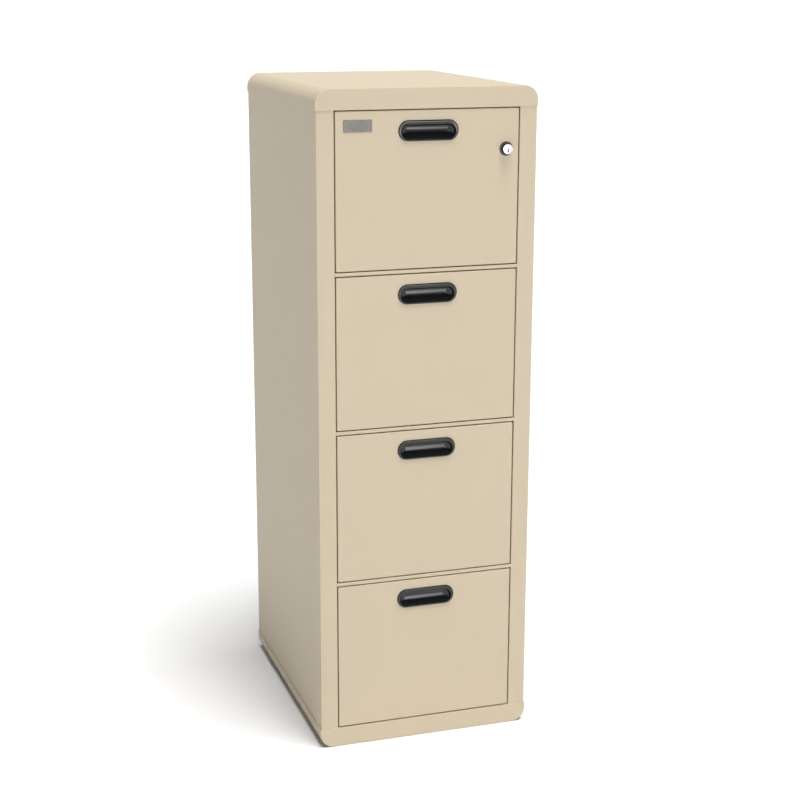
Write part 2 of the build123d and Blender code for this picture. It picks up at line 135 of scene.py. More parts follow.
@dataclass(frozen=True)
class Finish:
    """One real material and the way its surface was made.

    A pattern of the given grain lifts the surface and shifts its gloss, and a
    second, broad one shifts its colour a little. Where the hollow width is set,
    hollows of about that width are painted dark as shade.
    """

    name: str
    colour: str
    shade: str
    roughness: float
    roughness_swing: float
    grain_mm: float
    relief_mm: float
    patch_mm: float
    metallic: float = 0.0
    ior: float | None = None
    stretch: Point3 = (1.0, 1.0, 1.0)
    hollow_mm: float = 0.0

    def build(self) -> bpy.types.Material:
        """Makes the material, with its patterns laid out in real millimetres.

        Returns:
            The material, with one Principled shader.
        """
        material = bpy.data.materials.new(self.name)
        material.use_nodes = True
        tree = material.node_tree
        tree.nodes.clear()
        place = add_node(tree, "ShaderNodeTexCoord").outputs["Object"]
        drawn_out = add_node(
            tree, "ShaderNodeMapping", {"Scale": self.stretch}, {"Vector": place}
        ).outputs["Vector"]
        grain = add_node(
            tree,
            "ShaderNodeTexNoise",
            {"Scale": 1 / (self.grain_mm * MM), "Detail": 2.0, "Roughness": 0.5},
            {"Vector": drawn_out},
        ).outputs["Fac"]
        patch = add_node(
            tree,
            "ShaderNodeTexNoise",
            {"Scale": 1 / (self.patch_mm * MM), "Detail": 3.0, "Roughness": 0.6},
            {"Vector": place},
        ).outputs["Fac"]
        paint = add_node(
            tree,
            "ShaderNodeMix",
            {6: srgb(self.colour), 7: srgb(self.shade)},
            {0: patch},
            data_type="RGBA",
        ).outputs[2]
        # Painted shade: ambient occlusion darkens the colour towards near-black in narrow hollows.
        if self.hollow_mm:
            openness = add_node(
                tree,
                "ShaderNodeAmbientOcclusion",
                {"Distance": self.hollow_mm * MM},
                samples=8,
                only_local=True,
            ).outputs["AO"]
            paint = add_node(
                tree,
                "ShaderNodeMix",
                {6: srgb("#0C0B0A")},
                {0: openness, 7: paint},
                data_type="RGBA",
            ).outputs[2]
        gloss = add_node(
            tree,
            "ShaderNodeMapRange",
            {
                "From Min": 0.3,
                "From Max": 0.7,
                "To Min": self.roughness - self.roughness_swing,
                "To Max": self.roughness + self.roughness_swing,
            },
            {"Value": grain},
        ).outputs["Result"]
        relief = add_node(
            tree,
            "ShaderNodeBump",
            {"Strength": 1.0, "Distance": self.relief_mm * MM},
            {"Height": grain},
        ).outputs["Normal"]
        constants: dict[str | int, object] = {"Metallic": self.metallic}
        if self.ior is not None:
            constants["IOR"] = self.ior
        shader = add_node(
            tree,
            "ShaderNodeBsdfPrincipled",
            constants,
            {"Base Color": paint, "Roughness": gloss, "Normal": relief},
        )
        add_node(tree, "ShaderNodeOutputMaterial", links={"Surface": shader.outputs["BSDF"]})
        return material


class Surface(Enum):
    """The finishes of the cabinet, by the record's material slot."""

    # Smooth semi-matt powder coat: soft broad highlights and a faint orange peel.
    beige_enamel = Finish(
        "powder_coated_steel_beige", "#C9BBA2", "#C6B89F", 0.48, 0.03, 2.5, 0.004, 180.0, ior=1.43
    )
    # The same coat in grey on the parts inside, a little rougher.
    grey_enamel = Finish(
        "powder_coated_steel_grey", "#8F8C86", "#88857F", 0.48, 0.04, 2.5, 0.006, 90.0, ior=1.5
    )
    # Moulded ABS with a gloss tool face: deep black with sharp reflections.
    black_abs = Finish(
        "moulded_abs_black", "#151517", "#19191B", 0.16, 0.03, 1.2, 0.002, 25.0, ior=1.54
    )
    # Die-cast zinc under black lacquer: dark with a dull sheen.
    black_zinc = Finish(
        "lacquered_zinc_black", "#141519", "#1A1B20", 0.32, 0.05, 0.8, 0.003, 12.0, ior=1.5
    )
    # Chrome plate over turned brass: a bright mirror with very fine turning marks,
    # and painted shade that darkens the keyway and other narrow hollows.
    chrome = Finish(
        "chrome_plated_brass",
        "#E6E6E4",
        "#DEDEDC",
        0.14,
        0.03,
        0.5,
        0.001,
        8.0,
        metallic=1.0,
        hollow_mm=3.0,
    )
    # Zinc-plated steel strip: dull silver with soft rolled streaks along Y.
    zinc_steel = Finish(
        "zinc_plated_steel_strip",
        "#B9BBBC",
        "#A9ABAE",
        0.38,
        0.08,
        1.0,
        0.002,
        14.0,
        metallic=1.0,
        stretch=(1.0, 0.05, 1.0),
    )
    # Hardened bearing steel, ground and polished: small clear highlights.
    bright_steel = Finish(
        "polished_bearing_steel", "#C9CACC", "#C2C3C6", 0.12, 0.02, 0.4, 0.0005, 5.0, metallic=1.0
    )
    # Brushed aluminium: fine hairlines along X that spread the highlight.
    brushed_badge = Finish(
        "brushed_aluminium",
        "#5F5C59",
        "#575451",
        0.36,
        0.08,
        0.4,
        0.003,
        9.0,
        metallic=1.0,
        stretch=(0.04, 1.0, 1.0),
    )
    # Cast gypsum with mineral filler: chalky, off-white and quite matt.
    insulation = Finish(
        "cast_gypsum_insulation", "#D9D5CC", "#C9C4B8", 0.85, 0.06, 3.0, 0.15, 30.0, ior=1.52
    )


@dataclass
class Paintshop:
    """Hands out each finish's material, made once, and knows each node's slot."""

    made: dict[Surface, bpy.types.Material] = field(default_factory=dict)
    slots: dict[str, str] = field(default_factory=dict)

    def material(self, slot: str) -> bpy.types.Material:
        """Gives the material of one of the record's slots.

        Args:
            slot: The slot's name.

        Returns:
            Its material.
        """
        surface = Surface[slot]
        if surface not in self.made:
            self.made[surface] = surface.value.build()
        return self.made[surface]


PAINTSHOP = Paintshop()


# ---------------------------------------------------------------- outlines
def corner_arc(corner: Vector, before: Vector, after: Vector, radius: float, steps: int) -> list[Vector]:
    """Rounds one corner of a path.

    Args:
        corner: The corner.
        before: The point before it.
        after: The point after it.
        radius: The bend's radius.
        steps: How many segments the arc has.

    Returns:
        The arc's points, or the corner itself where there is no bend.
    """
    arrive = (corner - before).normalized()
    leave = (after - corner).normalized()
    turn = arrive.angle(leave)
    if not radius or turn < 1e-6:
        return [corner]
    start = corner - arrive * radius * math.tan(turn / 2)
    side = 1 if arrive.x * leave.y - arrive.y * leave.x > 0 else -1
    centre = start + Vector((-arrive.y, arrive.x)) * side * radius
    spoke = start - centre
    points = []
    for step in range(steps + 1):
        angle = side * turn * step / steps
        cos, sin = math.cos(angle), math.sin(angle)
        turned = Vector((spoke.x * cos - spoke.y * sin, spoke.x * sin + spoke.y * cos))
        points.append(centre + turned)
    return points


def bent_path(points: Sequence[Point2], radii: float | Sequence[float], steps: int = 4) -> list[Point2]:
    """Rounds the inner corners of an open path.

    Args:
        points: The path's corners.
        radii: One radius for all bends, or one for each.
        steps: How many segments each bend has.

    Returns:
        The path with arcs at its bends.
    """
    spots = [Vector(p) for p in points]
    sizes = [radii] * (len(spots) - 2) if isinstance(radii, (int, float)) else radii
    path = [spots[0]]
    for i, radius in enumerate(sizes, start=1):
        path += corner_arc(spots[i], spots[i - 1], spots[i + 1], radius, steps)
    return [(p.x, p.y) for p in path + [spots[-1]]]


def rounded_rectangle(low: Point2, high: Point2, radius: float, inset: float = 0.0) -> list[Point2]:
    """A closed outline with round corners, anticlockwise.

    Args:
        low: Its lowest corner.
        high: Its highest corner.
        radius: The corners' radius before the inset.
        inset: How far all of it is moved inwards.

    Returns:
        The outline's points.
    """
    steps = 4
    x0, z0, x1, z1 = low[0] + inset, low[1] + inset, high[0] - inset, high[1] - inset
    r = max(radius - inset, 0.05)
    centres = ((x1 - r, z0 + r, -90), (x1 - r, z1 - r, 0), (x0 + r, z1 - r, 90), (x0 + r, z0 + r, 180))
    outline = []
    for cx, cz, start in centres:
        for step in range(steps + 1):
            angle = math.radians(start + 90 * step / steps)
            outline.append((cx + r * math.cos(angle), cz + r * math.sin(angle)))
    return outline


def circle(centre: Point2, radius: float, steps: int = 64) -> list[Point2]:
    """A closed round outline, anticlockwise.

    Args:
        centre: Its centre.
        radius: Its radius.
        steps: How many segments it has.

    Returns:
        The outline's points.
    """
    turns = [2 * math.pi * i / steps for i in range(steps)]
    return [(centre[0] + radius * math.cos(t), centre[1] + radius * math.sin(t)) for t in turns]


def at_depth(outline: Iterable[Point2], y: float) -> Loop:
    """Stands an X-Z outline up at one value of Y."""
    return [(x, y, z) for x, z in outline]


@dataclass(frozen=True)
class Stadium:
    """A pill-shaped outline, read by the spots round it."""

    x: float
    z: float
    length: float
    height: float

    def spots(self, end_steps: int = 20, side_steps: int = 24) -> list[tuple[Vector, Vector]]:
        """Walks round the outline anticlockwise, looking down its height.

        Args:
            end_steps: How many segments each round end has.
            side_steps: How many segments each straight side has.

        Returns:
            For each spot, its nearest point on the spine and its outward direction.
        """
        reach = (self.length - self.height) / 2
        found = []
        for end, start in ((1, -90), (-1, 90)):
            for step in range(end_steps + 1):
                angle = math.radians(start + 180 * step / end_steps)
                way = Vector((math.cos(angle), math.sin(angle)))
                found.append((Vector((self.x + end * reach, self.z)), way))
            for step in range(1, side_steps):
                x = self.x + end * reach * (1 - 2 * step / side_steps)
                found.append((Vector((x, self.z)), Vector((0.0, float(end)))))
        return found

    def outline(self, inset: float = 0.0) -> list[Point2]:
        """The outline's points.

        Args:
            inset: How far all of it is moved inwards.

        Returns:
            The points.
        """
        reach = self.height / 2 - inset
        return [tuple(spine + way * reach) for spine, way in self.spots()]


def pan(outline: Callable[[float], list[Point2]], open_y: float, face_y: float, bend: float) -> list[Loop]:
    """The loops of a pan's side and the bend into its face.

    Args:
        outline: Gives the outline at an inset.
        open_y: Where the side starts.
        face_y: Where the face lies.
        bend: The outer radius of the bend between them.

    Returns:
        The loops, of which the last lies in the face.
    """
    steps = 4
    back = math.copysign(bend, open_y - face_y)
    loops = [at_depth(outline(0.0), open_y)]
    for step in range(steps + 1):
        angle = math.pi / 2 * step / steps
        inset = bend * (1 - math.cos(angle))
        loops.append(at_depth(outline(inset), face_y + back * (1 - math.sin(angle))))
    return loops


# ---------------------------------------------------------------- pieces
class Axis(Enum):
    """The axis that a sheet's folds run along."""

    X = 0
    Y = 1
    Z = 2

    def place(self, point: Point2, along: float) -> Point3:
        """Gives a section's point its place on this axis.

        Args:
            point: The point in the plane square to the axis.
            along: The place on the axis.

        Returns:
            The point in space.
        """
        spot = list(point)
        spot.insert(self.value, along)
        return tuple(spot)


@dataclass
class Blank:
    """A mesh being made, in millimetres in the row frame."""

    mesh: bmesh.types.BMesh = field(default_factory=bmesh.new)

    def ring(self, points: Iterable[Point3]) -> Ring:
        """Adds points, and returns their vertices."""
        return [self.mesh.verts.new(p) for p in points]

    def skin(self, loops: Sequence[Loop], closed: bool = True) -> list[Ring]:
        """Joins loops of equal length with quads, in order.

        Args:
            loops: The loops.
            closed: Whether they are rings.

        Returns:
            The rows of vertices.
        """
        rows = [self.ring(points) for points in loops]
        for first, second in zip(rows, rows[1:]):
            for i in range(len(first) if closed else len(first) - 1):
                j = (i + 1) % len(first)
                self.mesh.faces.new((first[i], first[j], second[j], second[i]))
        return rows

    def sheet(
        self, path: Sequence[Point2], axis: Axis, span: Point2, inside: Point3 | None = None
    ) -> None:
        """Draws a folded sheet: an open path moved along one axis.

        Args:
            path: The section's points, in the plane square to the axis.
            axis: The axis that the folds run along.
            span: Where the sheet starts and ends on that axis.
            inside: A point that the sheet faces away from, where it is the only one to.
        """
        before = set(self.mesh.faces)
        self.skin([[axis.place(p, along) for p in path] for along in span], closed=False)
        if inside is not None:
            self.turn([f for f in self.mesh.faces if f not in before], inside, True)

    def plate(self, *rings: Ring) -> None:
        """Fills the area inside the first ring and outside the others.

        Args:
            *rings: Rings of vertices in one plane.
        """
        edges = []
        for ring in rings:
            for i, vert in enumerate(ring):
                pair = (vert, ring[(i + 1) % len(ring)])
                edges.append(self.mesh.edges.get(pair) or self.mesh.edges.new(pair))
        bmesh.ops.triangle_fill(self.mesh, use_beauty=True, edges=edges)

    def block(self, path: Sequence[Point2], axis: Axis, span: Point2) -> None:
        """Draws a solid with one section along an axis.

        Args:
            path: The closed section's points, in the plane square to the axis.
            axis: The axis.
            span: Where the solid starts and ends on that axis.
        """
        rows = self.skin([[axis.place(p, along) for p in path] for along in span])
        for row in rows:
            self.mesh.faces.new(row)

    def face(self, inside: Point3, outward: bool = True) -> None:
        """Turns every connected part to face away from a point, or towards it.

        Args:
            inside: The point.
            outward: Whether the parts face away from it.
        """
        bmesh.ops.remove_doubles(self.mesh, verts=self.mesh.verts, dist=1e-4)
        bmesh.ops.recalc_face_normals(self.mesh, faces=self.mesh.faces)
        waiting = set(self.mesh.faces)
        while waiting:
            part = {waiting.pop()}
            edge_of = list(part)
            while edge_of:
                for edge in edge_of.pop().edges:
                    found = [f for f in edge.link_faces if f not in part]
                    part.update(found)
                    edge_of += found
            waiting -= part
            self.turn(list(part), inside, outward)

    def turn(self, part: list[bmesh.types.BMFace], inside: Point3, outward: bool) -> None:
        """Turns one part to face away from a point, or towards it.

        Args:
            part: Its faces, which already agree with each other.
            inside: The point.
            outward: Whether the part faces away from it.
        """
        self.mesh.normal_update()
        spot = Vector(inside)
        flux = sum(f.calc_area() * f.normal.dot(f.calc_center_median() - spot) for f in part)
        if (flux > 0) != outward:
            bmesh.ops.reverse_faces(self.mesh, faces=part)

    def piece(self, node: str, suffix: str, steel: float = 0.0, sharp: float = 35.0) -> bpy.types.Object:
        """Finishes the mesh as the piece that stands for a CAD node.

        Args:
            node: The CAD node.
            suffix: What is added to its name.
            steel: The sheet's thickness, behind the drawn surface, or 0 for a solid.
            sharp: The angle in degrees over which an edge stays sharp.

        Returns:
            The piece.
        """
        bmesh.ops.transform(self.mesh, matrix=Matrix.Scale(MM, 4), verts=self.mesh.verts)
        data = bpy.data.meshes.new(f"{node}_{suffix}")
        self.mesh.to_mesh(data)
        self.mesh.free()
        made = bpy.data.objects.new(data.name, data)
        bpy.context.scene.collection.objects.link(made)
        if steel:
            solidify = made.modifiers.new("sheet", "SOLIDIFY")
            solidify.thickness = steel * MM
            solidify.offset = -1.0
            solidify.use_even_offset = True
            settle(made)
        smooth(made, sharp)
        body = frame["nodes"][node]["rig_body"]
        slot = PAINTSHOP.slots[node]
        made.data.materials.clear()
        made.data.materials.append(PAINTSHOP.material(slot))
        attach(made, body)
        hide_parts(node)
        LOG.info("%s rides on %s with %d faces", made.name, body, len(made.data.polygons))
        return made


def settle(made: bpy.types.Object) -> None:
    """Applies an object's modifiers to its mesh."""
    graph = bpy.context.evaluated_depsgraph_get()
    data = bpy.data.meshes.new_from_object(made.evaluated_get(graph))
    made.modifiers.clear()
    made.data = data


def smooth(made: bpy.types.Object, sharp: float) -> None:
    """Shades bends smoothly, and keeps flats flat and cut edges sharp.

    Args:
        made: The object.
        sharp: The angle in degrees over which an edge is sharp.
    """
    work = bmesh.new()
    work.from_mesh(made.data)
    for face in work.faces:
        face.smooth = True
    for edge in work.edges:
        edge.smooth = len(edge.link_faces) == 2 and edge.calc_face_angle(0) < math.radians(sharp)
    work.to_mesh(made.data)
    work.free()
    weigh = made.modifiers.new("flats", "WEIGHTED_NORMAL")
    weigh.keep_sharp = True
    settle(made)


def box_mm(node: str) -> tuple[Vector, Vector]:
    """The lowest and highest corner of a CAD node, in millimetres."""
    low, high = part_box(node)
    return low / MM, high / MM


def middle_mm(node: str) -> Vector:
    """The middle of a CAD node's box, in millimetres."""
    low, high = box_mm(node)
    return (low + high) / 2


# ---------------------------------------------------------------- cabinet body
@dataclass
class Cap:
    """The painted pan that closes the top or the base of the body."""

    node: str
    upside_down: bool = False
    radius: float = 29.0
    bend: float = 1.6
    steel: float = 1.2

    def section(self, inset: float) -> list[Point2]:
        """The cap's outline across the cabinet, open on one side.

        Args:
            inset: How far the outline is moved inwards.

        Returns:
            The points, from one open end over the cap to the other.
        """
        low, high = box_mm(self.node)
        half = high.x - inset
        opened = high.z if self.upside_down else low.z
        face = low.z + inset if self.upside_down else high.z - inset
        corners = [(half, opened), (half, face), (-half, face), (-half, opened)]
        return bent_path(corners, self.radius - inset, 24)

    def build(self) -> None:
        """Makes the cap, with small bends round its flat front and back."""
        low, high = box_mm(self.node)
        steps = 4
        bends = []
        for step in range(steps + 1):
            angle = math.pi / 2 * step / steps
            bends.append((self.bend * (1 - math.sin(angle)), self.bend * (1 - math.cos(angle))))
        blank = Blank()
        front = [at_depth(self.section(inset), low.y + depth) for inset, depth in bends]
        back = [at_depth(self.section(inset), high.y - depth) for inset, depth in bends]
        rows = blank.skin(front + back[::-1], closed=False)
        blank.mesh.faces.new(rows[0])
        blank.mesh.faces.new(rows[-1])
        blank.face((0, 0, high.z if self.upside_down else low.z))
        blank.piece(self.node, "pan", self.steel)


@dataclass
class Body:
    """The painted outside of the body: the folded wrapper and the front rails."""

    steel: float = 1.2
    bend: float = 1.4
    bend_steps: int = 4
    rail_bend: float = 1.0

    def build(self) -> None:
        """Makes both pieces."""
        self.build_wrapper()
        self.build_rails()

    def build_wrapper(self) -> None:
        """Folds the wrapper round the sides and the back, with its jambs at the front."""
        low, high = box_mm("outer_wrapper")
        opening = box_mm("front_rails")[1]
        brim_low, brim_high = (corner.z for corner in box_mm("inner_liner"))
        ends = [(opening.x, opening.y), (opening.x, low.y)]
        path = [*ends, (high.x, low.y), (high.x, high.y)]
        path += [(-x, y) for x, y in path[::-1]]
        folded = bent_path(path, self.bend, self.bend_steps)
        jamb = 1 + self.bend_steps
        blank = Blank()
        blank.sheet(folded, Axis.Z, (brim_low, brim_high))
        blank.sheet(folded[jamb:-jamb], Axis.Z, (low.z, brim_low))
        blank.sheet(folded[jamb:-jamb], Axis.Z, (brim_high, high.z))
        blank.face((0, 0, high.z / 2))
        blank.piece("outer_wrapper", "folded", self.steel)

    def build_rails(self) -> None:
        """Folds the header, the sill and the rails between the drawers."""
        low, high = box_mm("front_rails")
        brim_low, brim_high = (corner.z for corner in box_mm("inner_liner"))
        header = brim_high - self.steel
        sill = brim_low + self.steel
        paths = [
            [(high.y, header), (low.y, header), (low.y, high.z)],
            [(high.y, sill), (low.y, sill), (low.y, low.z)],
        ]
        for n in DRAWERS[:-1]:
            top = box_mm(f"drawer_front_{n}")[0].z - GAP
            base = box_mm(f"drawer_front_{n + 1}")[1].z + GAP
            paths.append([(high.y, top), (low.y, top), (low.y, base), (high.y, base)])
        blank = Blank()
        for path in paths:
            behind = (0, high.y, (path[1][1] + path[2][1]) / 2)
            blank.sheet(bent_path(path, self.rail_bend), Axis.X, (low.x, high.x), behind)
        blank.piece("front_rails", "folded", self.steel)


@dataclass
class Inside:
    """The liner that the drawers run in, and the dividers between them."""

    steel: float = 0.8
    corner: float = 3.0
    bend: float = 1.5
    nose: float = 1.2
    mouth: float = 0.8
    notch_x: float = 2.3
    notch_y: Point2 = (1.6, 28.0)

    def build(self) -> None:
        """Makes the liner and the dividers."""
        self.build_liner()
        for n in DRAWERS[:-1]:
            self.build_divider(n)

    def build_liner(self) -> None:
        """Draws the brim at the front, the four walls and the back."""
        low, high = box_mm("inner_liner")
        half_x = box_mm("cabinet_rails")[1].x
        first_low, first_high = box_mm("divider_1")
        step_down = first_low.z - box_mm("divider_2")[0].z - (first_high.z - first_low.z)
        tunnel_low = (-half_x, box_mm("divider_3")[0].z - step_down)
        tunnel_high = (half_x, first_high.z + step_down)

        def tunnel(inset: float) -> list[Point2]:
            """The four walls' outline at an inset."""
            return rounded_rectangle(tunnel_low, tunnel_high, self.corner, inset)

        brim = at_depth(rounded_rectangle((low.x, low.z), (high.x, high.z), 0.5), low.y)
        mouth = [
            at_depth(tunnel(self.mouth * (share - 1)), low.y + self.mouth * share)
            for share in (0.0, 0.3, 1.0)
        ]
        walls = pan(tunnel, low.y + self.bend, high.y - self.steel, self.bend)
        blank = Blank()
        rows = blank.skin([brim, *mouth, *walls])
        blank.mesh.faces.new(rows[-1])
        blank.face((0, (low.y + high.y) / 2, (low.z + high.z) / 2), outward=False)
        blank.piece("inner_liner", "pan", self.steel)

    def build_divider(self, n: int) -> None:
        """Folds one divider, with the notch that lets the lock bar through.

        Args:
            n: The drawer above it.
        """
        node = f"divider_{n}"
        low, high = box_mm(node)
        first, second = (low.y + step for step in self.notch_y)
        top = [(high.y, high.z), (second, high.z), (first, high.z), (low.y, high.z)]
        path = top + [(y, low.z) for y, _ in top[::-1]]
        bends = [0, 0, self.nose, self.nose, 0, 0]
        cut = high.x - self.notch_x
        blank = Blank()
        blank.sheet(bent_path(path, bends), Axis.X, (low.x, cut))
        blank.sheet(bent_path(path[2:-2], self.nose), Axis.X, (cut, high.x))
        blank.sheet(path[:2], Axis.X, (cut, high.x))
        blank.sheet(path[-2:], Axis.X, (cut, high.x))
        blank.face((0, (low.y + high.y) / 2, (low.z + high.z) / 2))
        blank.piece(node, "folded", self.steel)


# ---------------------------------------------------------------- slides
@dataclass
class Slide:
    """Rolled C-shaped members, one on each side of a drawer."""

    node: str
    middles: Sequence[float]
    half: float
    reach: float
    web_outside: bool = True
    steel: float = 1.2
    lip: float = 2.4
    bend: float = 1.3

    def build(self) -> None:
        """Makes the members on both sides at every height."""
        low, high = box_mm(self.node)
        outer = high.x
        inner = high.x - self.reach
        web, lips = (outer, inner) if self.web_outside else (inner, outer)
        blank = Blank()
        for middle in self.middles:
            top = [(lips, self.half - self.lip), (lips, self.half), (web, self.half)]
            section = top + [(x, -z) for x, z in top[::-1]]
            path = bent_path(section, self.bend)
            for side in (-1, 1):
                drawn = [(side * x, middle + z) for x, z in path]
                core = (side * (web + lips) / 2, (low.y + high.y) / 2, middle)
                blank.sheet(drawn, Axis.Y, (low.y, high.y), core)
        blank.piece(self.node, "rolled", self.steel)


# ---------------------------------------------------------------- drawers
@dataclass
class DrawerHead:
    """A drawer's insulated front: the painted pan and the stepped panel behind it."""

    n: int
    steel: float = 1.2
    bend: float = 1.6
    corner: float = 2.4
    panel: float = 1.0
    tongue_in: Point2 = (15.2, 9.7)
    tongue_corner: float = 2.0
    tongue_bend: float = 0.8
    pull_hole: Point2 = (117.0, 36.0)
    lock_hole: float = 12.2
    slot_low: Point2 = (3.0, -4.5)
    slot_high: Point2 = (9.0, 2.5)
    slot_corner: float = 0.8

    def build(self) -> None:
        """Makes both pieces."""
        self.build_pan()
        self.build_liner()

    def build_pan(self) -> None:
        """Draws the painted pan, with the holes for the pull and the lock."""
        node = f"drawer_front_{self.n}"
        low, high = box_mm(node)

        def outline(inset: float) -> list[Point2]:
            """The face's outline at an inset."""
            return rounded_rectangle((low.x, low.z), (high.x, high.z), self.corner, inset)

        blank = Blank()
        rows = blank.skin(pan(outline, high.y, low.y, self.bend))
        hole = Stadium(0.0, middle_mm(f"handle_cup_{self.n}").z, *self.pull_hole)
        rings = [rows[-1], blank.ring(at_depth(hole.outline(), low.y))]
        if self.n == 1:
            lock = middle_mm("lock_collar")
            sleeve = circle((lock.x, lock.z), self.lock_hole)
            rings.append(blank.ring(at_depth(sleeve, low.y)))
        blank.plate(*rings)
        blank.face((0, high.y, (low.z + high.z) / 2))
        blank.piece(node, "pan", self.steel)

    def build_liner(self) -> None:
        """Draws the stepped panel, with the slot for the lock's tail."""
        node = f"front_liner_{self.n}"
        low, high = box_mm(node)
        seat = low.y + self.panel
        in_x, in_z = self.tongue_in
        tongue_low = (low.x + in_x, low.z + in_z)
        tongue_high = (high.x - in_x, high.z - in_z)

        def tongue(inset: float) -> list[Point2]:
            """The outline of the raised part at an inset."""
            return rounded_rectangle(tongue_low, tongue_high, self.tongue_corner, inset)

        edge = rounded_rectangle((low.x, low.z), (high.x, high.z), self.tongue_corner)
        brim = at_depth(edge, seat)
        blank = Blank()
        rows = blank.skin([brim, *pan(tongue, seat, high.y, self.tongue_bend)])
        rings = [rows[-1]]
        if self.n == 1:
            lock = middle_mm("lock_collar")
            ends = [(lock.x + x, lock.z + z) for x, z in (self.slot_low, self.slot_high)]
            slot = rounded_rectangle(*ends, self.slot_corner)
            rings.append(blank.ring(at_depth(slot, high.y)))
        blank.plate(*rings)
        blank.face((0, low.y - 100, (low.z + high.z) / 2))
        blank.piece(node, "pan", self.panel)


@dataclass
class Tray:
    """A drawer's folded steel tray."""

    n: int
    steel: float = 1.0
    hem: float = 4.0
    hem_bend: float = 1.5
    fold: float = 3.0
    foot: float = 13.0
    foot_bend: float = 2.0
    flange: float = 15.0
    flange_corner: float = 4.0

    def build(self) -> None:
        """Makes the floor and sides, the back panel and the frame at the front."""
        node = f"tray_{self.n}"
        low, high = box_mm(node)
        wall = high.x - self.hem - self.steel
        floor = low.z + self.steel
        front, back = low.y + self.steel, high.y - self.steel
        side = [(-high.x, high.z), (-wall, high.z), (-wall, floor)]
        channel = side + [(-x, z) for x, z in side[::-1]]
        bends = [self.hem_bend, self.fold, self.fold, self.hem_bend]
        blank = Blank()
        blank.sheet(bent_path(channel, bends), Axis.Y, (front, back))
        seat = floor + self.steel
        rear = [(back - self.foot, seat), (back, seat), (back, high.z)]
        blank.sheet(bent_path(rear, self.foot_bend), Axis.X, (-wall, wall))
        outer = wall + self.steel
        mouth = outer - self.flange
        half = [(outer, high.z), (outer, low.z)]
        opening = [(mouth, low.z + self.flange), (mouth, high.z)]
        around = [(-x, z) for x, z in half] + half[::-1]
        around += opening[::-1] + [(-x, z) for x, z in opening]
        corners = [self.hem_bend] * 2 + [0, 0] + [self.flange_corner] * 2
        blank.plate(blank.ring(at_depth(bent_path(around, corners), front)))
        blank.face((0, (low.y + high.y) / 2, (low.z + high.z) / 2), outward=False)
        blank.piece(node, "folded", self.steel)


